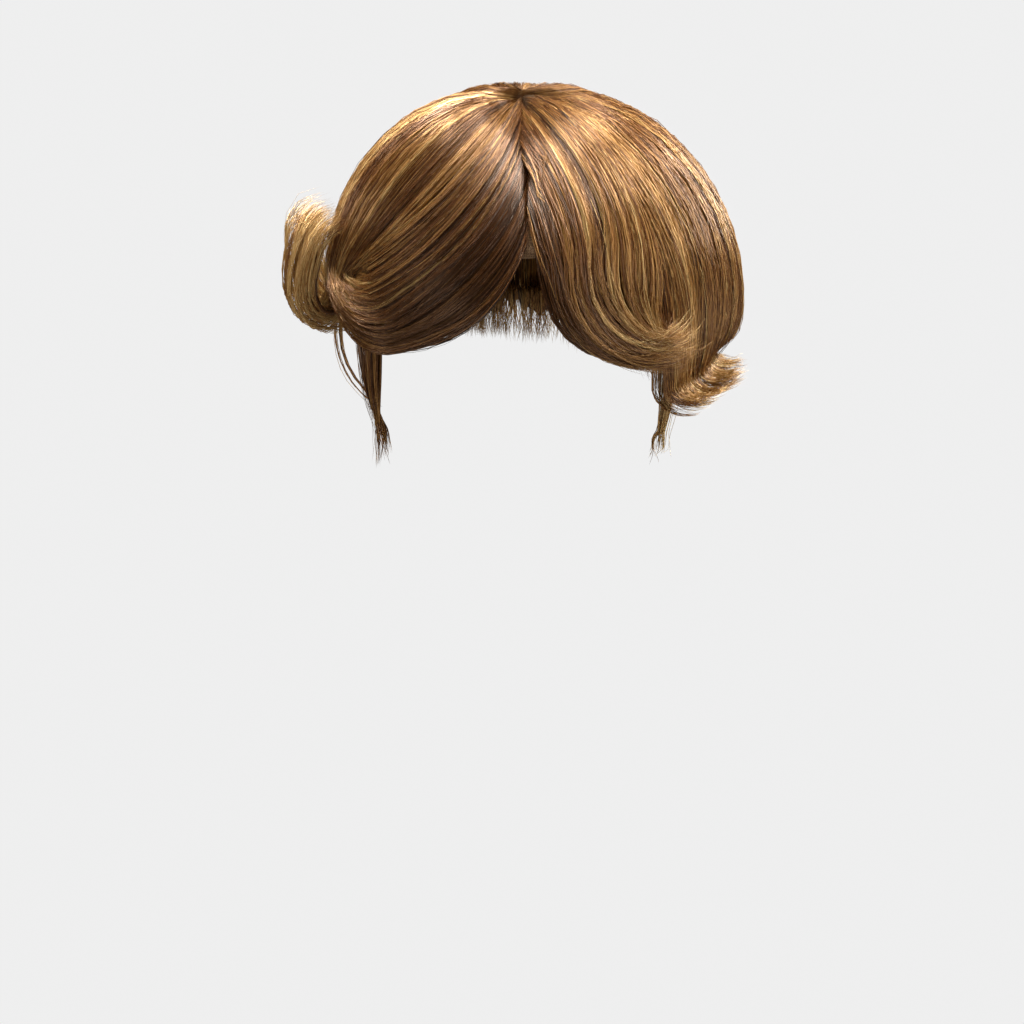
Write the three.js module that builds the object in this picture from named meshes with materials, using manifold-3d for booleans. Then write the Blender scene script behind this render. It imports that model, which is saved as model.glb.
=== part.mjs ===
// Hair system: locks of wavy hair knotted on a thin lace base, parted in the middle and worn on the crown.
// Millimetres, +Z up, the wearer faces -Y. Left and right are as seen from the front.
// The origin is the top of the head, where the underside of the base rests on it.
import * as THREE from "three";
import { ParametricGeometry } from "three/addons/geometries/ParametricGeometry.js";
import { mergeVertices } from "three/addons/utils/BufferGeometryUtils.js";
import Module from "manifold-3d";

const wasm = await Module();
wasm.setup();

// Driving dimensions: the head that the base is moulded to, the base, and the clearance between pieces.
const HEAD_HALF_WIDTH = 77;
const HEAD_HALF_DEPTH = 98;
const HEAD_DOME_HEIGHT = 92;
const HEAD_RINGS = [0.9, 1, 2.5]; // falls of the head form's rings below the base, down past the hair
const BASE_WALL = 1;
const GAP = 0.6;
const SLIVER = 0.16; // detail finer than this, left by a cut, is smoothed away
const WELD = 1e-3; // vertices nearer than this are one vertex

// The lower edge of the base, from the hairline over the temple and the ear to the back of the crown.
// Fall is the share of the dome that lies above a point: 0 at the top of the head, 1 at its widest level, and
// it goes on at the same rate below that.
const BASE_EDGE = [
  { azimuth: 0, fall: 0.8 },
  { azimuth: 36, fall: 0.75 },
  { azimuth: 62, fall: 0.79 },
  { azimuth: 90, fall: 0.76 },
  { azimuth: 135, fall: 0.82 },
  { azimuth: 180, fall: 0.88 },
];
const BASE_SLICES = 28;
const BASE_RINGS = 8;

// Lock sections: sides round a lock, steps along its body and its curl, and how far it laps its neighbour.
const LOCK_SIDES = 6;
const BODY_STEPS = 6;
const CURL_STEPS = 6;
const LOCK_STEPS = BODY_STEPS + CURL_STEPS;
const LAP = 1.45;
const DEPTH_SHARE = 1.3; // a lock's depth over the base, as a share of how far it stands off the head
const HANGS_FROM = 0.75; // the fall at which a lock begins to leave the base
const HANGS_CLEAR = 1.06; // and the fall from which it hangs clear of it
const ROOT_SECTION = 0.75; // the share of its full section that a lock has at the root
const TIP_TAPER = 1.5; // above 1, a curl keeps its section for longer before it slims
const CURL_SIGHT = 0.96; // the share of the body from which a path is sighted into its curl
const CREST = 0.25; // the share of a turn that puts a corner of a lock's section on its crest

// One guide is one path of hair. It leaves the base at root, lies on the head at mid, and curls from turn on.
// Azimuths are degrees from the front, to the right; lifts are millimetres off the head.
// The curl has a length, a turn in degrees, an opening (0 round, above 0 uncoiling, below 0 tightening), and
// a lean: 0 flips away from the head, 90 and -90 roll sideways along it.
const COLUMNS = [
  "rootAzimuth", "rootFall", "rootLift", "midAzimuth", "midFall", "midLift",
  "turnAzimuth", "turnFall", "turnLift", "curlLength", "curlTurn", "curlOpening", "curlLean",
];

// Each section has its guides from front to back, the number of locks spread over them, the greatest depth
// of a lock where it hangs clear of the base, and the share of its width and depth that is left at the tip.
const SECTIONS = [
  {
    name: "sideburn_left", locks: 1, depth: 9, tip: 0.25,
    guides: [
      [-90, 0.86, 5, -84, 1.18, 10, -66, 1.42, 7, 28, 30, 0, 60],
      [-68, 0.86, 5, -70, 1.15, 10, -60, 1.38, 7, 28, 30, 0, 60],
    ],
  },
  {
    name: "sideburn_right", locks: 1, depth: 9, tip: 0.25,
    guides: [
      [84, 0.86, 5, 80, 1.22, 9, 66, 1.48, 6, 18, 20, 0, -60],
      [68, 0.86, 5, 68, 1.19, 9, 60, 1.42, 6, 18, 20, 0, -60],
    ],
  },
  {
    name: "fringe_left", locks: 6, depth: 13, tip: 0.3,
    guides: [
      [2, 0.74, 4, -16, 1.01, 8, -43, 1.145, 15, 70, 165, -0.2, -72],
      [0, 0.45, 8, -21, 0.84, 15, -47, 1.03, 19, 54, 150, -0.2, -72],
      [-4, 0.05, 8, -22, 0.59, 20, -62, 0.875, 21, 24, 60, 0, -50],
    ],
  },
  {
    name: "fringe_right", locks: 6, depth: 13, tip: 0.3,
    guides: [
      [4, 0.74, 4, 9, 0.91, 8, 16, 1.03, 13, 84, 140, -0.2, 98],
      [3, 0.42, 8, 20, 0.68, 17, 21, 0.87, 20, 72, 150, -0.1, 98],
      [5, 0.05, 8, 42, 0.55, 27, 43, 0.86, 29, 36, 90, 0, 80],
    ],
  },
  {
    name: "side_left", locks: 5, depth: 12, tip: 0.35,
    guides: [
      [-12, 0.02, 8, -30, 0.52, 21, -66, 0.9, 22, 70, 225, 1.4, 0],
      [-80, 0.02, 8, -82, 0.54, 22, -88, 1.01, 21, 76, 225, 1.6, 0],
      [-132, 0.02, 8, -126, 0.57, 22, -124, 1.05, 18, 62, 190, 1.2, 0],
    ],
  },
  {
    name: "side_right", locks: 5, depth: 14, tip: 0.35,
    guides: [
      [16, 0.02, 8, 45, 0.64, 29, 52, 1.26, 23, 30, 180, 0.2, 0],
      [80, 0.02, 8, 86, 0.9, 38, 90, 1.24, 29, 26, 170, 0.2, 0],
      [132, 0.02, 8, 126, 0.85, 32, 124, 1.28, 20, 34, 150, 0.2, 0],
    ],
  },
  {
    name: "back", locks: 5, depth: 13, tip: 0.6,
    guides: [
      [126, 0.02, 8, 123, 0.79, 28, 121, 1.24, 16, 34, 60, 0.2, 0],
      [180, 0.02, 8, 180, 0.76, 25, 180, 1.16, 16, 30, 50, 0.2, 0],
      [234, 0.02, 8, 236, 0.74, 26, 237, 1.13, 18, 30, 60, 0.2, 0],
    ],
  },
];

const HAIR = new THREE.MeshStandardMaterial({ color: 0x8c6239, roughness: 0.42, metalness: 0 });
const LACE = new THREE.MeshStandardMaterial({ color: 0x9c7a57, roughness: 0.85, metalness: 0 });

const radians = THREE.MathUtils.degToRad;
const lerp = THREE.MathUtils.lerp;

// The outward normal of the head form at an azimuth in degrees and a fall.
function headNormal(azimuth, fall) {
  const polar = (Math.min(fall, 1) * Math.PI) / 2;
  const turn = radians(azimuth);
  return new THREE.Vector3(
    (Math.sin(polar) * Math.sin(turn)) / HEAD_HALF_WIDTH,
    (-Math.sin(polar) * Math.cos(turn)) / HEAD_HALF_DEPTH,
    Math.cos(polar) / HEAD_DOME_HEIGHT,
  ).normalize();
}

// A point that stands off the head: a half ellipsoid down to its widest level, and straight down from there.
function overHead(azimuth, fall, lift) {
  const polar = (Math.min(fall, 1) * Math.PI) / 2;
  const turn = radians(azimuth);
  const below = (Math.max(fall - 1, 0) * Math.PI) / 2;
  return new THREE.Vector3(
    HEAD_HALF_WIDTH * Math.sin(polar) * Math.sin(turn),
    -HEAD_HALF_DEPTH * Math.sin(polar) * Math.cos(turn),
    HEAD_DOME_HEIGHT * (Math.cos(polar) - 1 - below),
  ).addScaledVector(headNormal(azimuth, fall), lift);
}

// The fall of the base's edge at an azimuth, the same on both sides, smoothed between the rows of the table.
function baseEdge(azimuth) {
  const angle = Math.abs(((azimuth + 540) % 360) - 180);
  const next = Math.max(1, BASE_EDGE.findIndex((row) => row.azimuth >= angle));
  const [from, to] = [BASE_EDGE[next - 1], BASE_EDGE[next]];
  const share = THREE.MathUtils.smoothstep(angle, from.azimuth, to.azimuth);
  return lerp(from.fall, to.fall, share);
}

// A closed geometry as a solid: shared vertices are merged and the flat triangles at its poles left out.
function solidOf(geometry) {
  geometry.deleteAttribute("normal");
  geometry.deleteAttribute("uv");
  const merged = mergeVertices(geometry, WELD);
  const corners = merged.index.array;
  const kept = [];
  for (let i = 0; i < corners.length; i += 3) {
    const [a, b, c] = corners.subarray(i, i + 3);
    if (a !== b && b !== c && c !== a) kept.push(a, b, c);
  }
  return new wasm.Manifold(
    new wasm.Mesh({
      numProp: 3,
      vertProperties: merged.attributes.position.array,
      triVerts: new Uint32Array(kept),
    }),
  );
}

// The fall of a ring between the top of the head and the edge of the base.
function ringFall(azimuth, ring) {
  return (ring / (BASE_RINGS - 1)) * baseEdge(azimuth);
}

// The base: a thin cap moulded to the crown, its inner face running out to the edge and its outer face back.
function baseGeometry() {
  const last = 2 * BASE_RINGS - 1;
  return new ParametricGeometry(
    (u, v, target) => {
      const step = Math.round(v * last);
      const inside = step < BASE_RINGS;
      const fall = ringFall(u * 360, inside ? step : last - step);
      target.copy(overHead(u * 360, fall, inside ? 0 : BASE_WALL));
    },
    BASE_SLICES,
    last,
  );
}

// The space of the head and all within a lift of it: the same rings as the base, then on down below the hair.
// It runs upwards, as the outer face of the base does, so that both face outwards.
function headSpace(lift) {
  const last = BASE_RINGS + HEAD_RINGS.length;
  const geometry = new ParametricGeometry(
    (u, v, target) => {
      const step = Math.round((1 - v) * last);
      const overBase = step < BASE_RINGS;
      const below = HEAD_RINGS[Math.min(step - BASE_RINGS, HEAD_RINGS.length - 1)];
      const fall = overBase ? ringFall(u * 360, step) : below;
      target.copy(overHead(u * 360, fall, lift));
      if (step === last) target.set(0, 0, target.z);
    },
    BASE_SLICES,
    last,
  );
  return solidOf(geometry);
}

// The guide at a share of the way from a section's first guide to its last.
function guideAt(section, share) {
  const spans = section.guides.length - 1;
  const place = THREE.MathUtils.clamp(share, 0, 1) * spans;
  const first = Math.min(Math.floor(place), spans - 1);
  const values = COLUMNS.map((name, column) => {
    const [from, to] = [section.guides[first][column], section.guides[first + 1][column]];
    return [name, lerp(from, to, place - first)];
  });
  return Object.fromEntries(values);
}

// The curve through a value at the root, at mid and at the turn.
function bow(root, mid, turn, t) {
  return root * (2 * t - 1) * (t - 1) + mid * 4 * t * (1 - t) + turn * t * (2 * t - 1);
}

// A point of a guide's body, with its outward normal, its fall and its lift.
function bodyStation(guide, t) {
  const azimuth = bow(guide.rootAzimuth, guide.midAzimuth, guide.turnAzimuth, t);
  const fall = bow(guide.rootFall, guide.midFall, guide.turnFall, t);
  const lift = bow(guide.rootLift, guide.midLift, guide.turnLift, t);
  return { point: overHead(azimuth, fall, lift), normal: headNormal(azimuth, fall), fall, lift, under: 1 };
}

// The path of a guide: stations from root to tip. Under is how far the lock lies under its path: all of it
// over the head, and half in a curl that flips away from the head, where the path runs through the middle.
function guidePath(guide) {
  const stations = [];
  for (let step = 0; step <= BODY_STEPS; step++) stations.push(bodyStation(guide, step / BODY_STEPS));
  const end = stations[BODY_STEPS];
  const along = end.point.clone().sub(bodyStation(guide, CURL_SIGHT).point).normalize();
  const out = end.normal.clone().addScaledVector(along, -end.normal.dot(along)).normalize();
  const aside = out.clone().cross(along);
  const lean = radians(guide.curlLean);
  const towards = out.clone().multiplyScalar(Math.cos(lean)).addScaledVector(aside, Math.sin(lean));
  const stride = guide.curlLength / CURL_STEPS;
  let last = end;
  for (let step = 1; step <= CURL_STEPS; step++) {
    const share = (step - 0.5) / CURL_STEPS;
    const opening = guide.curlOpening;
    const turned = opening >= 0 ? 1 - (1 - share) ** (1 + opening) : share ** (1 - opening);
    const angle = radians(guide.curlTurn) * turned;
    const heading = along.clone().multiplyScalar(Math.cos(angle)).addScaledVector(towards, Math.sin(angle));
    const point = last.point.clone().addScaledVector(heading, stride);
    const normal = last.normal.clone().addScaledVector(heading, -last.normal.dot(heading)).normalize();
    const under = 1 - Math.cos(lean) * Math.min(1, (2 * step) / CURL_STEPS);
    last = { point, normal, fall: end.fall, lift: end.lift, under };
    stations.push(last);
  }
  return stations;
}

// How much of a lock's full section it has at a station: slim at the root, full in the body, slim at the tip.
function swell(share, tip) {
  const body = BODY_STEPS / LOCK_STEPS;
  const curl = (share - body) / (1 - body);
  return share < body ? lerp(ROOT_SECTION, 1, share / body) : lerp(1, tip, curl ** TIP_TAPER);
}

// One lock: a flattened spindle under its guide, as wide as the lap over its neighbours needs.
function lockGeometry(section, share, grow) {
  const stations = guidePath(guideAt(section, share));
  const half = 0.5 / section.locks;
  const before = guidePath(guideAt(section, share - half));
  const after = guidePath(guideAt(section, share + half));
  const rings = stations.map(({ point, normal, fall, lift, under }, step) => {
    const nextPoint = stations[Math.min(step + 1, LOCK_STEPS)].point;
    const lastPoint = stations[Math.max(step - 1, 0)].point;
    const along = nextPoint.clone().sub(lastPoint).normalize();
    const out = normal.clone().addScaledVector(along, -normal.dot(along)).normalize();
    const aside = out.clone().cross(along).normalize();
    const size = swell(step / LOCK_STEPS, section.tip);
    const spacing = Math.max(before[step].point.distanceTo(after[step].point), section.depth / 2);
    const overBase = 1 - THREE.MathUtils.smoothstep(fall, HANGS_FROM, HANGS_CLEAR);
    const depth = lerp(section.depth, lift * DEPTH_SHARE, overBase) * size;
    const width = spacing * LAP * size;
    const centre = point.clone().addScaledVector(out, (-depth / 2) * under);
    return { centre, out, aside, halfDepth: depth / 2 + grow, halfWidth: width / 2 + grow };
  });
  const last = LOCK_STEPS + 1;
  return new ParametricGeometry(
    (u, v, target) => {
      const step = Math.round(v * last);
      const ring = rings[Math.max(step - 1, 0)];
      const open = step === 0 || step === last ? 0 : 1;
      const angle = (u + CREST) * 2 * Math.PI;
      target
        .copy(ring.centre)
        .addScaledVector(ring.aside, Math.cos(angle) * ring.halfWidth * open)
        .addScaledVector(ring.out, Math.sin(angle) * ring.halfDepth * open);
    },
    LOCK_SIDES,
    last,
  );
}

// A section's locks fused into one solid. Grow swells them, for cutting a clearance in a neighbour.
function lockSolid(section, grow = 0) {
  const locks = [];
  for (let i = 0; i < section.locks; i++) {
    locks.push(solidOf(lockGeometry(section, (i + 0.5) / section.locks, grow)));
  }
  return wasm.Manifold.union(locks);
}

// The largest body of a solid, without the crumbs left by a cut.
function largestBody(solid) {
  return solid.decompose().reduce((a, b) => (a.volume() >= b.volume() ? a : b));
}

// A solid's surface.
function geometryOf(solid) {
  const { vertProperties, triVerts } = solid.getMesh();
  const geometry = new THREE.BufferGeometry();
  geometry.setAttribute("position", new THREE.BufferAttribute(vertProperties, 3));
  geometry.setIndex(new THREE.BufferAttribute(triVerts, 1));
  return geometry;
}

// A solid as a named mesh: smoothed, then welded, with the largest body kept each time.
function meshOf(name, solid, material) {
  const smoothed = largestBody(solid.simplify(SLIVER));
  const welded = largestBody(solidOf(geometryOf(smoothed)));
  const geometry = geometryOf(welded);
  geometry.computeVertexNormals();
  const mesh = new THREE.Mesh(geometry, material);
  mesh.name = name;
  return mesh;
}

// Assembly: the base, then each section clear of the base and of the sections laid before it.
const hairSystem = new THREE.Group();
hairSystem.name = "hair_system";
hairSystem.add(meshOf("base", solidOf(baseGeometry()), LACE));

let taken = headSpace(BASE_WALL + GAP);
for (const section of SECTIONS) {
  hairSystem.add(meshOf(section.name, lockSolid(section).subtract(taken), HAIR));
  taken = taken.add(lockSolid(section, GAP));
}

export default hairSystem;
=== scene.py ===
# A hair system: light brown hair with curled ends on a lace base, parted in the middle, as it is worn.
# Metres, +Z up, the wearer faces -Y. Left and right are as seen from the front.
import math

import bmesh
import bpy
import numpy as np
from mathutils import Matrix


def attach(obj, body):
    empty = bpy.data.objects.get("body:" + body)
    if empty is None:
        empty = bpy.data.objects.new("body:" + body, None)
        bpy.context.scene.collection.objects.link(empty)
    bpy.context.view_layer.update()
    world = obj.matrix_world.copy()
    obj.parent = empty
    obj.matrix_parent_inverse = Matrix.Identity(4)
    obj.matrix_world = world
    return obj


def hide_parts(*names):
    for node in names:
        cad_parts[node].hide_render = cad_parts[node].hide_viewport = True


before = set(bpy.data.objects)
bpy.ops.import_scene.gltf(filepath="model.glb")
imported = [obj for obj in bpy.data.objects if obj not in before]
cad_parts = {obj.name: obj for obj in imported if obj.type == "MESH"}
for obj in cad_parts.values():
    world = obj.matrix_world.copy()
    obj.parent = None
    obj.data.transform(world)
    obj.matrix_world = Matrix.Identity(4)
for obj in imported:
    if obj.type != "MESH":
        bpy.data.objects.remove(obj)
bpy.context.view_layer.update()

# Base: a cap of fine tan net, moulded to the shape of the crown, that every hair is knotted to. Its edge is
# turned over into a narrow stitched hem. It shows at the front of the part and inside the cap.
SCALP_HALF = np.array([0.077, 0.098, 0.092])
BASE_EDGE_AZIMUTH = [0, 36, 62, 90, 135, 180]
BASE_EDGE_FALL = [0.8, 0.75, 0.79, 0.76, 0.82, 0.88]
BASE_WALL = 0.0007
HEM_RISE = 0.0003
HEM_FROM = 0.94
HEM_STEP = 0.02
BASE_SLICES = 96
BASE_RINGS = 32
SAME_POINT = 1e-6

# The net's pattern is measured in meshes of the net, which are this wide.
NET_PITCH = 0.0013
NET_UNEVEN = 0.35
THREAD_FADE = (0.09, 0.2)
KNOT_SCALE = 0.8
KNOT_FADE = (0.12, 0.2)
KNOT_STRENGTH = 0.8
WEAR_SCALE = 0.35
WEAR_SHARE = 0.5
LACE_BUMP = 0.0003
LACE_ROUGHNESS = 0.9
THREAD_SHEEN = 0.2
LACE_THREAD = (0.27, 0.145, 0.06, 1)
LACE_GAP = (0.1, 0.05, 0.02, 1)
LACE_KNOT = (0.03, 0.016, 0.008, 1)


def over_scalp(azimuth, fall, lift):
    """Points that stand off the scalp by a lift, and the scalp's outward normals there.

    Azimuth is in degrees from the front. Fall is 0 at the top, 1 at the scalp's widest level, more below.
    """
    turn = np.radians(azimuth)
    polar = np.minimum(fall, 1) * np.pi / 2
    way = np.stack([np.sin(polar) * np.sin(turn), -np.sin(polar) * np.cos(turn), np.cos(polar)], -1)
    place = way * SCALP_HALF
    place[..., 2] -= SCALP_HALF[2] * (1 + np.pi / 2 * np.maximum(fall - 1, 0))
    normal = way / SCALP_HALF
    normal /= np.linalg.norm(normal, axis=-1, keepdims=True)
    return place + normal * np.asarray(lift)[..., None], normal


def smooth(value, low, high):
    """0 below low, 1 above high, and an even S between them."""
    share = np.clip((value - low) / (high - low), 0, 1)
    return share * share * (3 - 2 * share)


def edge_fall(azimuth):
    """The fall of the base's edge at an azimuth, the same on both sides."""
    angle = np.abs((azimuth + 180) % 360 - 180)
    row = np.clip(np.searchsorted(BASE_EDGE_AZIMUTH, angle), 1, len(BASE_EDGE_AZIMUTH) - 1)
    share = smooth(angle, np.take(BASE_EDGE_AZIMUTH, row - 1), np.take(BASE_EDGE_AZIMUTH, row))
    return np.take(BASE_EDGE_FALL, row - 1) * (1 - share) + np.take(BASE_EDGE_FALL, row) * share


class Shade:
    """A socket of a material's nodes. Arithmetic on it adds Math nodes."""

    def __init__(self, tree, socket=None):
        self.tree = tree
        self.socket = socket

    def node(self, kind, settings=None, inputs=None, output=0):
        """Adds a node of a kind, sets it up, sets or links its inputs, and gives one of its outputs."""
        made = self.tree.nodes.new(kind)
        for name, value in (settings or {}).items():
            if name == "stops":
                while len(made.color_ramp.elements) < len(value):
                    made.color_ramp.elements.new(1)
                for stop, (place, colour) in zip(made.color_ramp.elements, value):
                    stop.position = place
                    stop.color = (*colour, 1)
            else:
                setattr(made, name, value)
        for name, value in (inputs or {}).items():
            if isinstance(value, Shade):
                self.tree.links.new(value.socket, made.inputs[name])
            else:
                made.inputs[name].default_value = value
        return Shade(self.tree, made.outputs[output]) if made.outputs else None

    def math(self, operation, first, second):
        """A Math node on two values."""
        return self.node("ShaderNodeMath", {"operation": operation}, {0: first, 1: second})

    def mixed(self, share, first, second):
        """Two colours mixed by a share. A Mix node keeps its colours on inputs 6 and 7 and on output 2."""
        return self.node("ShaderNodeMix", {"data_type": "RGBA"}, {0: share, 6: first, 7: second}, output=2)

    def fade(self, near, far, strength=1.0):
        """The strength where this value is below near, down to 0 where it is above far."""
        sockets = {"Value": self, "From Min": near, "From Max": far, "To Min": strength, "To Max": 0.0}
        return self.node("ShaderNodeMapRange", None, sockets)

    def __add__(self, other):
        return self.math("ADD", self, other)

    def __radd__(self, other):
        return self.math("ADD", other, self)

    def __sub__(self, other):
        return self.math("SUBTRACT", self, other)

    def __rsub__(self, other):
        return self.math("SUBTRACT", other, self)

    def __mul__(self, other):
        return self.math("MULTIPLY", self, other)

    def __rmul__(self, other):
        return self.math("MULTIPLY", other, self)


def new_material(name):
    """A bare material and the start of its nodes."""
    material = bpy.data.materials.new(name)
    material.use_nodes = True
    material.node_tree.nodes.clear()
    return material, Shade(material.node_tree)


def finish_material(start, sockets):
    """Puts a Principled shader with these sockets on the material's output."""
    shader = start.node("ShaderNodeBsdfPrincipled", None, sockets)
    start.node("ShaderNodeOutputMaterial", None, {"Surface": shader})


def lace_material():
    """Net of twisted thread: dark where the hair shows between the threads, with knots scattered over it."""
    material, start = new_material("lace")
    place = start.node("ShaderNodeUVMap", {"uv_map": "Net"})
    settings = {"feature": "DISTANCE_TO_EDGE", "voronoi_dimensions": "2D"}
    sockets = {"Vector": place, "Scale": 1.0, "Randomness": NET_UNEVEN}
    thread = start.node("ShaderNodeTexVoronoi", settings, sockets).fade(*THREAD_FADE)
    wear = start.node("ShaderNodeTexNoise", None, {"Vector": place, "Scale": WEAR_SCALE, "Detail": 4.0})
    sockets = {"Vector": place, "Scale": KNOT_SCALE}
    knots = start.node("ShaderNodeTexVoronoi", {"voronoi_dimensions": "2D"}, sockets)
    knot = knots.fade(*KNOT_FADE, KNOT_STRENGTH)
    colour = start.mixed(thread, LACE_GAP, LACE_THREAD)
    colour = start.mixed(wear * WEAR_SHARE, colour, LACE_THREAD)
    colour = start.mixed(knot, colour, LACE_KNOT)
    sockets = {"Strength": 0.5, "Distance": LACE_BUMP, "Height": thread + knot}
    bump = start.node("ShaderNodeBump", None, sockets)
    roughness = LACE_ROUGHNESS - THREAD_SHEEN * thread
    finish_material(start, {"Base Color": colour, "Roughness": roughness, "Normal": bump})
    return material


mesh = bmesh.new()
bmesh.ops.create_grid(mesh, x_segments=BASE_SLICES, y_segments=BASE_RINGS, size=0.5)
spot = np.array([vertex.co for vertex in mesh.verts]) + 0.5
azimuth = spot[:, 0] * 360
fall = (1 - spot[:, 1]) * edge_fall(azimuth)
lift = BASE_WALL + HEM_RISE * smooth(1 - spot[:, 1], HEM_FROM, HEM_FROM + HEM_STEP)
for vertex, place in zip(mesh.verts, over_scalp(azimuth, fall, lift)[0]):
    vertex.co = place
bmesh.ops.remove_doubles(mesh, verts=mesh.verts, dist=SAME_POINT)
bmesh.ops.recalc_face_normals(mesh, faces=mesh.faces)
bmesh.ops.solidify(mesh, geom=mesh.faces[:], thickness=BASE_WALL)
net = mesh.loops.layers.uv.new("Net")
for face in mesh.faces:
    face.smooth = True
    for corner in face.loops:
        way = np.array(corner.vert.co) / SCALP_HALF + (0, 0, 1)
        arc = math.atan2(math.hypot(way[0], way[1]), way[2]) * SCALP_HALF.mean() / NET_PITCH
        turn = math.atan2(way[0], -way[1])
        corner[net].uv = (arc * math.sin(turn), arc * math.cos(turn))
data = bpy.data.meshes.new("base_lace")
mesh.to_mesh(data)
mesh.free()
data.materials.append(lace_material())
lace = bpy.data.objects.new("base_lace", data)
bpy.context.scene.collection.objects.link(lace)
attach(lace, "root")
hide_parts("base")

# Left fringe: the front hair left of the part. Each hair is knotted in by hand at the part, combed across
# the brow and down, and set on a roller so that the ends gather in a curl at the temple.
MM = 0.001

# A section is combed over a sheet of this many paths, each a body that follows the scalp and then a curl.
SHEET_PATHS = 41
BODY_STEPS = 30
CURL_STEPS = 30
SHEET_STEPS = BODY_STEPS + CURL_STEPS
HOOK_POWER = 4

# Hair lies down to the base over it, and down to the section's own depth past its edge.
BASE_ENDS = (0.75, 1.06)
CLEAR_OF_BASE = 0.0016
LEAST_ROOM = 0.0004
CURL_FILLS = 0.4
TIP_THINS = 1.5

# Locks: their place in their share of the sheet, how deep the two inner layers lie, and their tones.
LOCK_PLACE = (0.1, 0.9)
LOCK_SINK = 0.003
INNER_DEPTH = (0.1, 0.8)
INMOST_DEPTH = (0.85, 1)
LOCK_TONES = (0.12, 0.88)
LOCK_WIDTH = 0.55
LOCK_DRIFT = 0.012
LOCK_NARROWS = 0.6

# Hairs in their locks. What ends in OVER is a range of stations, from 0 at the root to 1 at the tip.
HAIR_STEPS = 16
HAIR_SIDES = 3
HAIR_RADIUS = (0.00016, 0.00028)
ROOT_RADIUS = 0.4
ROOT_GROWS = 6
TIP_TAPER = 0.7
TIP_TAPER_POWER = 2.5
HAIR_DRIFT = 0.01
HAIR_SINK = 0.0004
HAIR_VARIETY = 0.13
HAIR_TONES = (0.02, 0.98)
OUTER_ROOTS = 0.03
INNER_ROOTS = 0.2
ROOT_TOP = 0.1
ROOT_RISE = (0.025, 0.09)
ROOT_LAP = 0.003
NARROW_OVER = (0.1, 1)
DRIFT_OVER = (0.1, 0.9)

# Waves: each lock's own, and a finer ripple of each hair, whose turn from root to tip is in radians.
WAVE_SIZE = 0.001
WAVE_TURNS = (1.2, 2.2)
WAVE_OVER = (0.05, 0.6)
WAVE_OUT = 0.4
SIDE_RIPPLE = 0.35
SIDE_RIPPLE_TURN = 14
OUT_RIPPLE = 0.6
OUT_RIPPLE_TURN = 11
FRIZZ_OVER = (0.72, 1)

# Strays: the few hairs that leave their lock. Apart, drift, wave and radius are multiples of the others'.
STRAY_SHARE = 0.06
STRAY_APART = 3
STRAY_DRIFT = 6
STRAY_RISE = 0.0025
STRAY_OVER = (0.1, 0.5)
STRAY_WAVE = 1.6
STRAY_RADIUS = 0.6

# Strips of the bake map, one for each hair: how many times longer than wide, and the margins.
STRIP_SHAPE = 40
STRIP_SIDE = 0.1
STRIP_END = 0.04

# Colours of the hair by tone, from dark brown to pale gold, with flecks and bleached tips.
HAIR_COLOURS = [
    (0.0, (0.03, 0.0085, 0.002)),
    (0.4, (0.136, 0.0465, 0.0092)),
    (0.72, (0.372, 0.186, 0.051)),
    (1.0, (0.66, 0.45, 0.18)),
]
HAIR_SHEEN = {
    "Metallic": 0.41,
    "IOR": 1.55,
    "Specular IOR Level": 0.62,
    "Specular Tint": (1.0, 0.97, 0.82, 1),
}
HAIR_ROUGHNESS = 0.2
FLECK_ROUGHNESS = 0.12
FLECK_ACROSS = 90.0
FLECK_ALONG = 5.0
FLECK_SHARE = 0.3
BLEACH_SHARE = 0.3
BLEACH_EVEN = 0.38

# Underhair: where its wall lies in the depth of a section, from the outside in, and its streaks. Its colours
# are near black: painted shade for the deep shadow inside the mass of hair.
UNDER_COLUMNS = 80
UNDER_ROWS = 10
UNDER_FROM = 0.5
UNDER_TO = 0.65
UNDER_MARGIN = 0.08
UNDER_START = 0.03
UNDER_RAGGED = 0.8
UNDER_PAINTED_SHADE_COLOURS = [(0.3, (0.018, 0.009, 0.004)), (0.75, (0.075, 0.034, 0.011))]
UNDER_STREAKS = (160.0, 5.0, 1.0)
UNDER_BUMP = 0.0006
UNDER_ROUGHNESS = 0.45
STREAK_ROUGHNESS = 0.2
UNDER_SPECULAR = 0.15

# Guide rows: where a path leaves the base, where it lies half way and where its curl begins, each as
# azimuth, fall and lift, then the curl's length, turn, opening and lean. Millimetres and degrees.
FRINGE_LEFT = [
    (2, 0.74, 4, -15, 1.01, 8, -43, 1.145, 15, 70, 165, -0.2, -72),
    (2.5, 0.43, 7, -12, 0.75, 13, -40, 1.02, 18, 60, 150, -0.2, -74),
    (1, 0.2, 7, -15, 0.665, 15, -46, 0.955, 20, 44, 110, -0.2, -76),
    (-1, 0.08, 7, -19, 0.59, 16, -50, 0.89, 19.5, 28, 40, 0, -110),
    (-4, 0.03, 7, -22, 0.56, 18, -60, 0.868, 17.5, 18, 20, 0, -170),
]


def unit(vectors):
    """Vectors of length 1."""
    return vectors / np.maximum(np.linalg.norm(vectors, axis=-1, keepdims=True), 1e-12)


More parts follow.
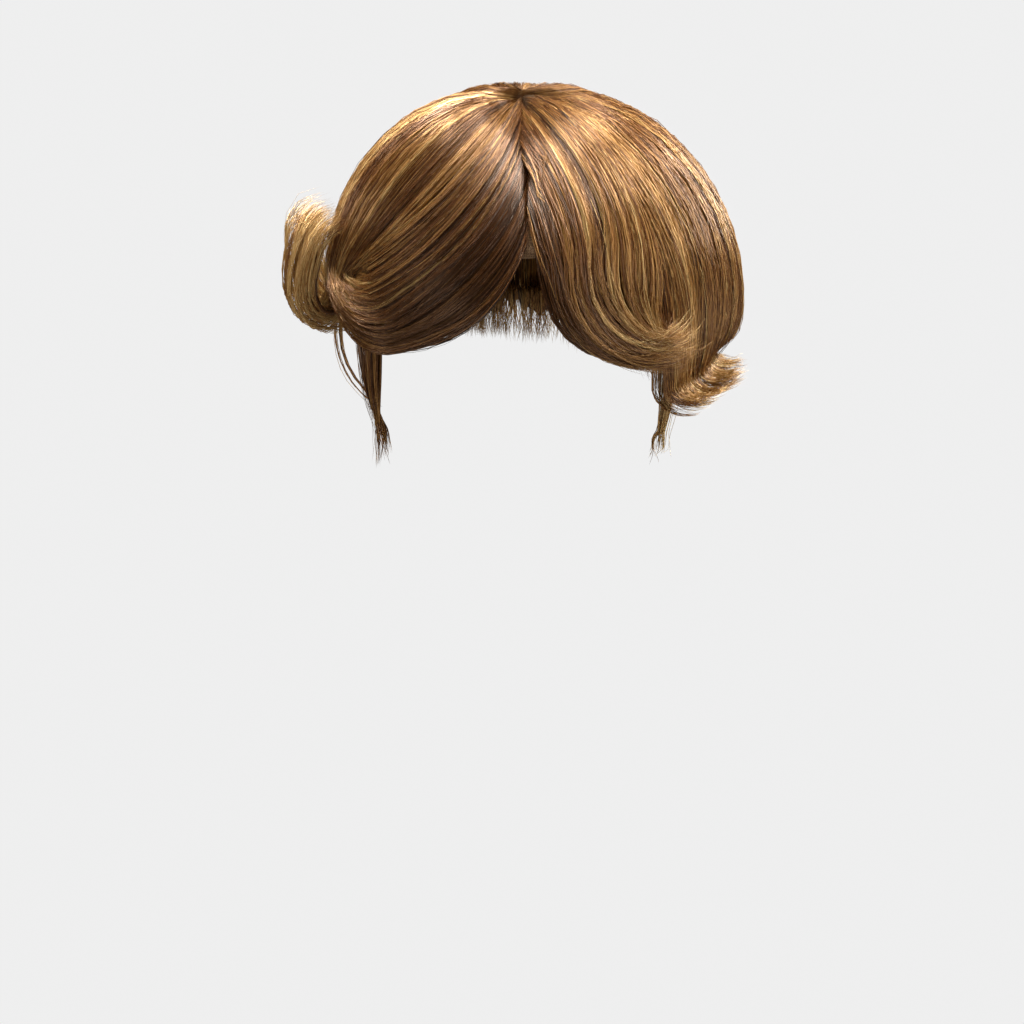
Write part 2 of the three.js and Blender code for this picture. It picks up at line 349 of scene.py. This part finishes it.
def sheet_of(guides, depth, tip, hook):
    """The combed surface of a section.

    Gives its points, its outward normals, the depth of hair there and the share of it below the path.
    """
    row = np.linspace(0, len(guides) - 1, SHEET_PATHS)
    columns = [np.interp(row, range(len(guides)), column)[:, None] for column in zip(*guides)]
    root_azimuth, root_fall, root_lift, mid_azimuth, mid_fall, mid_lift = columns[:6]
    turn_azimuth, turn_fall, turn_lift, length, turn, opening, lean = columns[6:]
    t = np.linspace(0, 1, BODY_STEPS + 1)

    def bow(root, mid, end):
        return root * (2 * t - 1) * (t - 1) + mid * 4 * t * (1 - t) + end * t * (2 * t - 1)

    fall = bow(root_fall, mid_fall, turn_fall)
    lift = bow(root_lift, mid_lift, turn_lift) * MM
    body, normal = over_scalp(bow(root_azimuth, mid_azimuth, turn_azimuth), fall, lift)
    along = unit(body[:, -1] - body[:, -2])
    out = unit(normal[:, -1] - along * (normal[:, -1] * along).sum(-1, keepdims=True))
    lean = np.radians(lean)
    towards = np.cos(lean) * out + np.sin(lean) * np.cross(out, along)
    axis = np.cross(along, towards)

    share = (np.arange(CURL_STEPS) + 0.5) / CURL_STEPS
    power = 1 + np.abs(opening)
    bend = np.where(opening >= 0, 1 - (1 - share) ** power, share**power)
    bend = (1 - hook) * bend + hook * share**HOOK_POWER
    angle = (np.radians(turn) * bend)[..., None]
    heading = np.cos(angle) * along[:, None] + np.sin(angle) * towards[:, None]
    curl = body[:, -1:] + np.cumsum(heading, 1) * (length * MM / CURL_STEPS)[..., None]
    leaned = (out * towards).sum(-1)[:, None, None]
    aside = (out * axis).sum(-1)[:, None, None]
    crossed = np.cos(angle) * towards[:, None] - np.sin(angle) * along[:, None]
    curl_out = leaned * crossed + aside * axis[:, None]

    over_base = 1 - smooth(fall, *BASE_ENDS)
    clear = np.maximum(lift - CLEAR_OF_BASE, LEAST_ROOM)
    body_room = over_base * clear + (1 - over_base) * np.minimum(clear, depth)
    spread = smooth(share, 0, CURL_FILLS)
    curl_room = body_room[:, -1:] * (1 - spread) + depth * spread
    curl_room = curl_room * (1 + (tip - 1) * share**TIP_THINS)
    body_under = np.ones_like(lift)
    curl_under = 1 - np.cos(lean) * np.minimum(1, 2 * share)
    return (
        np.concatenate([body, curl], 1),
        np.concatenate([normal, curl_out], 1),
        np.concatenate([body_room, curl_room], 1)[..., None],
        np.concatenate([body_under, curl_under], 1)[..., None],
    )


def on_sheet(values, share, station):
    """A sheet's values at shares across it, 0 to 1, and stations along it, 0 at the root to 1 at the tip."""
    x = np.clip(share, 0, 1) * (SHEET_PATHS - 1)
    y = np.clip(station, 0, 1) * SHEET_STEPS
    i = np.minimum(x.astype(int), SHEET_PATHS - 2)
    j = np.minimum(y.astype(int), SHEET_STEPS - 1)
    x = (x - i)[..., None]
    y = (y - j)[..., None]
    near = values[i, j] * (1 - y) + values[i, j + 1] * y
    far = values[i + 1, j] * (1 - y) + values[i + 1, j + 1] * y
    return near * (1 - x) + far * x


def hair_material():
    """Hair: each has its own tone from brown to gold, which in some sections also holds painted shade and
    painted light, is darker at the root and sun-bleached at the tip.
    """
    material, start = new_material("hair")
    tone = start.node("ShaderNodeAttribute", {"attribute_name": "tone"}, output="Fac")
    along = start.node("ShaderNodeAttribute", {"attribute_name": "along"}, output="Fac")
    place = start.node("ShaderNodeCombineXYZ", None, {"X": FLECK_ACROSS * tone, "Y": FLECK_ALONG * along})
    fleck = start.node("ShaderNodeTexNoise", None, {"Vector": place, "Scale": 1.0, "Detail": 3.0})
    value = tone + BLEACH_SHARE * (along - BLEACH_EVEN) + FLECK_SHARE * (fleck - 0.5)
    colour = start.node("ShaderNodeValToRGB", {"stops": HAIR_COLOURS}, {"Fac": value})
    roughness = HAIR_ROUGHNESS + FLECK_ROUGHNESS * fleck
    finish_material(start, {"Base Color": colour, "Roughness": roughness} | HAIR_SHEEN)
    return material


def underhair_material():
    """The mass of hair below the top layer: dark, with streaks that run the way the hair is combed. The dark
    is painted shade for the deep shadow that shows in the gaps between the locks.
    """
    material, start = new_material("underhair")
    place = start.node("ShaderNodeUVMap", {"uv_map": "Flow"})
    spread = start.node("ShaderNodeMapping", None, {"Vector": place, "Scale": UNDER_STREAKS})
    streak = start.node("ShaderNodeTexNoise", None, {"Vector": spread, "Scale": 1.0, "Detail": 4.0})
    colour = start.node("ShaderNodeValToRGB", {"stops": UNDER_PAINTED_SHADE_COLOURS}, {"Fac": streak})
    bump = start.node("ShaderNodeBump", None, {"Strength": 0.8, "Distance": UNDER_BUMP, "Height": streak})
    roughness = UNDER_ROUGHNESS + STREAK_ROUGHNESS * streak
    sockets = {"Base Color": colour, "Roughness": roughness, "Normal": bump}
    finish_material(start, sockets | {"Specular IOR Level": UNDER_SPECULAR})
    return material


HAIR = hair_material()
UNDERHAIR = underhair_material()


def tubes(name, centre, out, radius, tone):
    """One mesh of closed tapered tubes along rows of points.

    Each tube has its tone, its height from root to tip, and its own strip of the bake map.
    """
    count, stations = centre.shape[:2]
    last = stations - 1
    along = unit(np.gradient(centre, axis=1))
    side = unit(np.cross(along, out))
    up = np.cross(along, side)
    angle = np.linspace(0, 2 * np.pi, HAIR_SIDES, endpoint=False)
    circle = np.cos(angle)[:, None] * side[:, :, None] + np.sin(angle)[:, None] * up[:, :, None]
    rings = centre[:, :, None] + circle * radius[:, :, None, None]
    middle = rings[:, 1:-1].reshape(count, -1, 3)
    points = np.concatenate([centre[:, :1], middle, centre[:, -1:]], 1)
    each = points.shape[1]

    ring = np.arange(HAIR_SIDES)
    following = (ring + 1) % HAIR_SIDES
    root_fan = np.stack([1 + following, 1 + ring, np.zeros_like(ring)], 1)
    steps = (1 + HAIR_SIDES * np.arange(last - 2))[:, None]
    quads = np.stack([steps + ring, steps + following], -1)
    quads = np.concatenate([quads, quads[..., ::-1] + HAIR_SIDES], -1).reshape(-1, 4)
    final = 1 + HAIR_SIDES * (last - 2)
    tip_fan = np.stack([final + ring, final + following, np.full_like(ring, each - 1)], 1)
    corners = np.concatenate([root_fan.ravel(), quads.ravel(), tip_fan.ravel()])
    sizes = np.array([3] * HAIR_SIDES + [4] * len(quads) + [3] * HAIR_SIDES)
    starts = np.concatenate([[0], np.cumsum(sizes)[:-1]])

    height = np.concatenate([[0], np.repeat(np.arange(1, last), HAIR_SIDES), [last]]) / last
    root_across = np.stack([ring + 1, ring, ring + 0.5], 1).ravel()
    quad_across = np.tile(np.stack([ring, ring + 1, ring + 1, ring], 1).ravel(), last - 2)
    tip_across = np.stack([ring, ring + 1, ring + 0.5], 1).ravel()
    across = np.concatenate([root_across, quad_across, tip_across]) / HAIR_SIDES
    columns = math.ceil(math.sqrt(count * STRIP_SHAPE))
    rows = math.ceil(count / columns)
    strip = np.arange(count)
    u = (strip % columns)[:, None] + STRIP_SIDE + (1 - 2 * STRIP_SIDE) * across
    v = (strip // columns)[:, None] + STRIP_END + (1 - 2 * STRIP_END) * height[corners]
    places = np.stack([u / columns, v / rows], -1)

    data = bpy.data.meshes.new(name)
    data.vertices.add(count * each)
    data.vertices.foreach_set("co", points.astype(np.float32).ravel())
    data.loops.add(count * len(corners))
    data.loops.foreach_set("vertex_index", (strip[:, None] * each + corners).astype(np.int32).ravel())
    data.polygons.add(count * len(sizes))
    starts = (strip[:, None] * len(corners) + starts).astype(np.int32)
    data.polygons.foreach_set("loop_start", starts.ravel())
    data.uv_layers.new(name="OFBake").uv.foreach_set("vector", places.astype(np.float32).ravel())
    values = {"tone": np.repeat(tone, each), "along": np.tile(height, count)}
    for attribute, value in values.items():
        layer = data.attributes.new(attribute, "FLOAT", "POINT")
        layer.data.foreach_set("value", value.astype(np.float32))
    data.update(calc_edges=True)
    data.shade_smooth()
    data.materials.append(HAIR)
    return data


def underhair(name, points, normals, room, below, reach):
    """The closed wall of packed hair in the middle of a section, which keeps light from passing through it.

    It reaches to a station along the sheet, with a ragged end that differs with the length of the name.
    """
    mesh = bmesh.new()
    bmesh.ops.create_grid(mesh, x_segments=UNDER_COLUMNS, y_segments=UNDER_ROWS, size=0.5)
    made = bmesh.ops.extrude_face_region(mesh, geom=mesh.faces[:], use_keep_orig=True)
    raised = [item for item in made["geom"] if isinstance(item, bmesh.types.BMVert)]
    bmesh.ops.translate(mesh, verts=raised, vec=(0, 0, 1))
    spot = np.array([vertex.co for vertex in mesh.verts]) + (0.5, 0.5, 0)
    flow = mesh.loops.layers.uv.new("Flow")
    for face in mesh.faces:
        face.smooth = True
        for corner in face.loops:
            corner[flow].uv = spot[corner.vert.index, :2]
    share = UNDER_MARGIN + (1 - 2 * UNDER_MARGIN) * spot[:, 0]
    ragged = np.random.default_rng(len(name)).uniform(UNDER_RAGGED, 1, UNDER_COLUMNS + 1)
    length = spot[:, 1] * ragged[np.rint(spot[:, 0] * UNDER_COLUMNS).astype(int)]
    station = UNDER_START + (reach - UNDER_START) * length
    normal = unit(on_sheet(normals, share, station))
    half = 0.5 * (1 - on_sheet(below, share, station))
    deep = UNDER_FROM + (UNDER_TO - UNDER_FROM) * (1 - spot[:, 2:])
    places = on_sheet(points, share, station) + normal * on_sheet(room, share, station) * (half - deep)
    for vertex, place in zip(mesh.verts, places):
        vertex.co = place
    bmesh.ops.recalc_face_normals(mesh, faces=mesh.faces)
    data = bpy.data.meshes.new(name)
    mesh.to_mesh(data)
    mesh.free()
    data.materials.append(UNDERHAIR)
    return data


def add_piece(name, data, node=None):
    """Puts a mesh in the scene as a piece of hair, which may stand for a node."""
    piece = bpy.data.objects.new(name, data)
    bpy.context.scene.collection.objects.link(piece)
    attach(piece, "root")
    if node:
        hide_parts(node)


def sort_locks(rng, locks, layers, shade, variety):
    """Deals locks into an outer, an inner and an inmost layer.

    Gives each lock's layer, how many lie in it, and the lock's place across the sheet, sink, depth and tone;
    the tone's mean also carries painted shade and painted light in some sections.
    """
    counts = np.diff(np.round(np.cumsum([0, *layers]) * locks).astype(int))
    layer = np.repeat(np.arange(len(layers)), counts)
    rank = np.concatenate([np.arange(number) for number in counts])
    share = (rank + rng.uniform(*LOCK_PLACE, locks)) / counts[layer]
    sink = rng.uniform(0, LOCK_SINK, locks)
    inner = rng.uniform(*INNER_DEPTH, locks)
    inmost = rng.uniform(*INMOST_DEPTH, locks)
    deep = np.choose(layer, [np.zeros(locks), inner, inmost])
    # The mean tone runs from the first guide to the last; in some sections this carries painted shade and
    # painted light.
    mean_tone_and_painted_shade = shade[0] + (shade[1] - shade[0]) * share
    tone = np.clip(rng.normal(mean_tone_and_painted_shade, variety), *LOCK_TONES)
    return layer, counts[layer], share, sink, deep, tone


def waves(rng, locks, lock, stray, station, frizz):
    """How far hairs wave sideways and outwards, with their lock, on their own and astray at the tips."""
    count = len(lock)
    turns = rng.uniform(*WAVE_TURNS, locks)[lock][:, None]
    phase = rng.uniform(0, 2 * np.pi, (2, locks))[:, lock][..., None]
    own = rng.uniform(0, 2 * np.pi, (2, count))[..., None]
    size = WAVE_SIZE * np.where(stray, STRAY_WAVE, 1)[:, None] * smooth(station, *WAVE_OVER)
    angle = 2 * np.pi * turns * station
    side_ripple = SIDE_RIPPLE * np.sin(SIDE_RIPPLE_TURN * station + own[0])
    out_ripple = OUT_RIPPLE * np.sin(OUT_RIPPLE_TURN * station + own[1])
    sideways = size * (np.sin(angle + phase[0]) + side_ripple)
    outward = WAVE_OUT * size * (np.sin(angle + phase[1]) + out_ripple)
    astray = frizz * smooth(station, *FRIZZ_OVER) * rng.normal(0, 1, (2, count))[..., None]
    return sideways + astray[0], outward + astray[1]


def comb(name, guides, depth, tip, locks, hairs, seed, shade=(0.5, 0.5), variety=0.14, hook=0, frizz=0.002,
         loose=1, ends=0.82, layers=(0.7, 0.15, 0.15), under=0.55, roots=0.65, has_solid=True):
    """A section of hair: locks of hairs laid along a sheet, most on its outside, from base to tips.

    Depth is in millimetres, and tip is the share of it left at the tips. Shade is the mean tone at the
    first guide and the last; in the fringes, the left side and the right sideburn it also holds painted
    shade and painted light. Variety is how far the locks differ from it. Hook bends the curl late, frizz
    scatters the tips, loose lets locks wander, ends is where the shortest hair stops, layers are the shares
    of the locks, under is how far the underhair reaches, and roots how deep the roots lie.
    """
    rng = np.random.default_rng(seed)
    points, normals, room, below = sheet_of(guides, depth * MM, tip, hook)
    sorted_locks = sort_locks(rng, locks, layers, shade, variety)
    layer, among, lock_share, lock_sink, lock_deep, lock_tone_and_painted_shade = sorted_locks
    lock = np.repeat(np.arange(locks), hairs)
    count = len(lock)
    stray = rng.random(count) < STRAY_SHARE
    first = np.where(layer[lock] == 0, OUTER_ROOTS, INNER_ROOTS) * rng.random(count) ** 2
    end = 1 - (1 - ends) * (rng.random(locks)[lock] + rng.random(count)) / 2
    step = np.linspace(0, 1, HAIR_STEPS + 1)
    station = first[:, None] + (end - first)[:, None] * step

    # Across the sheet. A hair that would leave it is turned back at its edge.
    narrow = 1 - LOCK_NARROWS * smooth(station, *NARROW_OVER)
    apart = rng.normal(0, LOCK_WIDTH, count) / among[lock] * np.where(stray, STRAY_APART, 1)
    lock_drift = loose * rng.normal(0, LOCK_DRIFT, locks)[lock]
    drift = lock_drift + rng.normal(0, HAIR_DRIFT, count) * np.where(stray, STRAY_DRIFT, 1)
    share = lock_share[lock][:, None] + apart[:, None] * narrow
    share = share + drift[:, None] * smooth(station, *DRIFT_OVER)
    share = 1 - np.abs(1 - np.abs(share))

    # Into the sheet, from its outside down. Each root lies deeper, and its hair rises to its layer.
    sheet_room = on_sheet(room, share, station)[..., 0]
    rise = rng.uniform(-STRAY_RISE, 0, count)
    sunk = np.where(stray, rise, lock_sink[lock] + rng.normal(0, HAIR_SINK, count))
    sunk = sunk[:, None] * np.where(stray[:, None], smooth(station, *STRAY_OVER), 1)
    sunk = np.minimum(sunk + lock_deep[lock][:, None] * sheet_room, sheet_room)
    risen = smooth(station - first[:, None], 0, rng.uniform(*ROOT_RISE, count)[:, None] + first[:, None])
    rooted = rng.uniform(ROOT_TOP, roots, count)[:, None] * sheet_room
    sunk = sunk * risen + np.maximum(rooted, sunk) * (1 - risen)

    sideways, outward = waves(rng, locks, lock, stray, station, frizz)
    normal = unit(on_sheet(normals, share, station))
    half = 0.5 * (1 - on_sheet(below, share, station)[..., 0])
    offset = sheet_room * half - sunk + outward
    centre = on_sheet(points, share, station) + normal * offset[..., None]
    path = unit(np.gradient(centre, axis=1))
    centre = centre + np.cross(normal, path) * sideways[..., None]
    lap = ROOT_LAP * rng.random(count)[:, None] * (1 - risen)
    centre = centre - path[:, 2:3] * lap[..., None]

    thick = rng.uniform(*HAIR_RADIUS, count) * np.where(stray, STRAY_RADIUS, 1)
    root_grows = np.minimum(1, ROOT_RADIUS + ROOT_GROWS * step)
    radius = thick[:, None] * root_grows * (1 - TIP_TAPER * step**TIP_TAPER_POWER)
    tone = np.clip(lock_tone_and_painted_shade[lock] + rng.normal(0, HAIR_VARIETY, count), *HAIR_TONES)
    data = tubes(name + "_hair", centre, normal, radius, tone)
    add_piece(name + "_hair", data, name if has_solid else None)
    if under:
        wall = underhair(name + "_underhair", points, normals, room, below, under)
        add_piece(name + "_underhair", wall)


# The locks darken from the top of the fringe to its lower edge: painted shade for the shadow over the
# fringe's lower front.
comb("fringe_left", FRINGE_LEFT, depth=13, tip=0.3, locks=73, hairs=26, seed=11, shade=(0.21, 0.37),
     frizz=0.0015, ends=0.58, roots=0.25)

# Right fringe: the front hair right of the part, knotted in and combed down over the brow. Its ends are
# rolled up loosely at the cheek, so that single locks part from each other.
FRINGE_RIGHT = [
    (1, 0.62, 4, 4, 0.75, 8, 7.5, 0.91, 10, 106, 150, -0.1, 98),
    (2, 0.34, 7, 12.5, 0.61, 13, 15, 0.855, 16, 104, 150, -0.1, 98),
    (2, 0.12, 7, 18.5, 0.5, 16, 21.5, 0.815, 19, 96, 150, -0.1, 98),
    (4, 0.05, 7, 27.5, 0.48, 20, 31, 0.86, 23, 62, 115, -0.05, 94),
    (22, 0.03, 7, 36, 0.56, 23, 40, 0.95, 26, 30, 50, 0, 90),
]
# The locks are darkest along the fringe's inner edge over the brow: painted shade where the fringe overhangs
# it.
comb("fringe_right", FRINGE_RIGHT, depth=13, tip=0.3, locks=73, hairs=26, seed=12, shade=(0.14, 0.57),
     variety=0.2, frizz=0.006, loose=3, ends=0.78, under=0.48, roots=0.25)

# Part: short new hairs along the top of the part, knotted in like the rest. They lie across it from the
# left and hide the line of the base.
PART = [
    (-5, 0.07, 7, 4, 0.2, 9, 12, 0.34, 10.5, 16, 20, 0, -90),
    (-4, 0.28, 8, 3, 0.39, 10.5, 8, 0.5, 12.5, 14, 20, 0, -90),
    (-2, 0.44, 8, 3, 0.53, 10.5, 6, 0.62, 12, 12, 20, 0, -90),
]
comb("part", PART, depth=2, tip=0.3, locks=9, hairs=14, seed=20, shade=(0.4, 0.3), loose=3, ends=0.4,
     layers=(0.6, 0.2, 0.2), under=0, has_solid=False)

# Left side: the hair from the crown over the ear. In front it falls straight and tucks in behind the
# fringe. The rest is set on a large roller so that its ends flip out and up and hook over at the tips.
SIDE_LEFT_FRONT = [
    (4, 0.03, 6, -17, 0.58, 16, -61, 0.9, 18, 20, 20, 0, 180),
    (-74, 0.03, 4, -76, 0.54, 21, -80, 1.0, 25, 24, 30, 0, 180),
]
SIDE_LEFT = [
    (-62, 0.02, 4, -66, 0.56, 18, -74, 1.04, 18, 84, 310, 6, 0),
    (-90, 0.02, 4, -90, 0.55, 21.5, -92, 1.05, 25, 86, 305, 6.5, 0),
    (-132, 0.02, 6, -126, 0.57, 22, -124, 1.08, 20, 66, 240, 4, 0),
]
comb("side_left_front", SIDE_LEFT_FRONT, depth=10, tip=0.35, locks=30, hairs=26, seed=18, ends=0.7,
     has_solid=False)
# Its locks are a lighter tone than the rest: partly their own colour, partly painted light on the flip.
comb("side_left", SIDE_LEFT, depth=12, tip=0.55, locks=52, hairs=26, seed=13, shade=(0.62, 0.62),
     variety=0.22, hook=0.4, loose=4, under=0.5)

# Right side: the fuller, longer hair from the crown over the other ear. It is knotted in at the crown, and
# its ends are set on a small roller so that they hook out and up.
SIDE_RIGHT = [
    (12, 0.03, 6, 32, 0.64, 21, 52, 1.3, 13, 34, 150, 0.6, 0),
    (80, 0.02, 5, 86, 0.9, 37, 90, 1.22, 27, 30, 172, 1.2, 0),
    (132, 0.02, 7, 126, 0.87, 32, 123, 1.27, 17, 32, 140, 0.6, 0),
]
comb("side_right", SIDE_RIGHT, depth=7, tip=0.5, locks=79, hairs=26, seed=14, shade=(0.54, 0.54),
     variety=0.18, frizz=0.0015, loose=2, ends=0.6, layers=(0.6, 0.3, 0.1), under=0.48)

# Back: the hair from the crown down the back to the nape. It is knotted in at the crown and hangs straight,
# its ends only just turned out.
BACK = [
    (118, -0.02, 8, 114, 0.79, 27, 112, 1.24, 15, 34, 60, 0.2, 0),
    (180, -0.06, 8, 180, 0.76, 24, 180, 1.16, 15, 30, 50, 0.2, 0),
    (218, -0.05, 8, 219, 0.75, 25, 220, 1.13, 16, 30, 60, 0.2, 0),
    (236, -0.02, 7, 238, 0.74, 26, 240, 1.1, 17, 32, 80, 0.2, 0),
]
comb("back", BACK, depth=13, tip=0.6, locks=79, hairs=26, seed=25, ends=0.85, layers=(0.5, 0.12, 0.38),
     under=0.74)

# Sideburns: thin wisps of hair left hanging in front of each ear, knotted in along the edge of the base.
# On the left a few more hairs hang apart in a bow.
SIDEBURN_LEFT = [
    (-88, 0.86, 5, -78, 1.18, 11, -71, 1.42, 5, 32, 40, 0, 60),
    (-64, 0.86, 4, -66, 1.18, 6, -69, 1.42, 4, 32, 40, 0, 60),
]
SIDEBURN_RIGHT = [
    (84, 0.86, 5, 80, 1.2, 8, 66, 1.48, 5, 20, 20, 0, -60),
    (62, 0.86, 4, 63, 1.18, 6, 62, 1.46, 4, 20, 20, 0, -60),
]
WISP_LEFT = [
    (-94, 0.9, 10, -91, 1.18, 22, -78, 1.38, 6, 12, 10, 0, 60),
    (-90, 0.9, 10, -89, 1.19, 20, -77, 1.39, 5, 12, 10, 0, 60),
]
comb("sideburn_left", SIDEBURN_LEFT, depth=6, tip=0.25, locks=18, hairs=22, seed=16, shade=(0.2, 0.2),
     frizz=0.0005, ends=0.45, layers=(0.3, 0.5, 0.2), under=0)
# The right sideburn's light tone is partly its own colour and partly painted light, lifting it out of the
# shade it hangs in.
comb("sideburn_right", SIDEBURN_RIGHT, depth=6, tip=0.8, locks=8, hairs=12, seed=17, shade=(0.7, 0.7),
     frizz=0.003, ends=0.4, layers=(0.3, 0.5, 0.2), under=0)
comb("wisp_left", WISP_LEFT, depth=3, tip=0.3, locks=3, hairs=8, seed=19, frizz=0.0005, ends=0.6,
     layers=(0.4, 0.3, 0.3), under=0, has_solid=False)

# Studio: a pale floor that curves up into a backdrop all round, soft lamps, and a camera before the brow
# that looks slightly down. The floor is only seen: it lights nothing and casts no shadow.
FLOOR_HEIGHT = -1.6
STUDIO_RADIUS = 9
STUDIO_SLICES = 64
STUDIO_RINGS = 32
STUDIO_COLOUR = (0.86, 0.86, 0.86, 1)
STUDIO_LIGHT = 0.3
LAMP_AIM = (0, 0, -0.06)
LAMP_SIZE = 0.7
LAMPS = {
    "top": ((-0.15, 0.0, 1.45), 77),
    "right_top": ((0.9, 0.0, 1.1), 44),
    "left_top": ((-0.9, -0.1, 1.1), 16),
    "right_rim": ((1.1, 0.8, 0.4), 16),
    "right": ((1.35, -0.6, 0.2), 9),
    "left": ((-1.35, -0.6, 0.2), 7),
    "low": ((0.0, -0.9, -1.1), 5),
}
CAMERA_PLACE = (-0.00515, -1.5053, 0.166)
CAMERA_TILT = 75.8
CAMERA_SENSOR = 36
CAMERA_LENS = 102.4

mesh = bmesh.new()
bmesh.ops.create_uvsphere(mesh, u_segments=STUDIO_SLICES, v_segments=STUDIO_RINGS, radius=STUDIO_RADIUS)
for vertex in mesh.verts:
    vertex.co.z = max(vertex.co.z, FLOOR_HEIGHT)
data = bpy.data.meshes.new("floor")
mesh.to_mesh(data)
mesh.free()
floor = bpy.data.objects.new("floor", data)
bpy.context.scene.collection.objects.link(floor)
material, start = new_material("floor")
glow = start.node("ShaderNodeEmission", None, {"Color": STUDIO_COLOUR})
start.node("ShaderNodeOutputMaterial", None, {"Surface": glow})
data.materials.append(material)
floor.visible_diffuse = False
floor.visible_glossy = False
floor.visible_shadow = False

world = bpy.data.worlds.new("studio")
world.use_nodes = True
background = world.node_tree.nodes["Background"]
background.inputs["Color"].default_value = STUDIO_COLOUR
background.inputs["Strength"].default_value = STUDIO_LIGHT
bpy.context.scene.world = world


def soft_box(name, place, watts):
    """A soft box at a place, turned towards the hair."""
    light = bpy.data.lights.new(name, "AREA")
    light.energy = watts
    light.size = LAMP_SIZE
    holder = bpy.data.objects.new(name, light)
    holder.location = place
    way = np.subtract(LAMP_AIM, place)
    yaw = math.atan2(way[1], way[0]) - math.pi / 2
    pitch = math.atan2(way[2], math.hypot(way[0], way[1])) + math.pi / 2
    holder.rotation_euler = (pitch, 0, yaw)
    bpy.context.scene.collection.objects.link(holder)


for name, (place, watts) in LAMPS.items():
    soft_box(name, place, watts)

camera = bpy.data.objects.new("camera", bpy.data.cameras.new("camera"))
camera.data.sensor_width = CAMERA_SENSOR
camera.data.lens = CAMERA_LENS
camera.location = CAMERA_PLACE
camera.rotation_euler = (math.radians(CAMERA_TILT), 0, 0)
bpy.context.scene.collection.objects.link(camera)
bpy.context.scene.camera = camera
bpy.context.scene.view_settings.view_transform = "Standard"
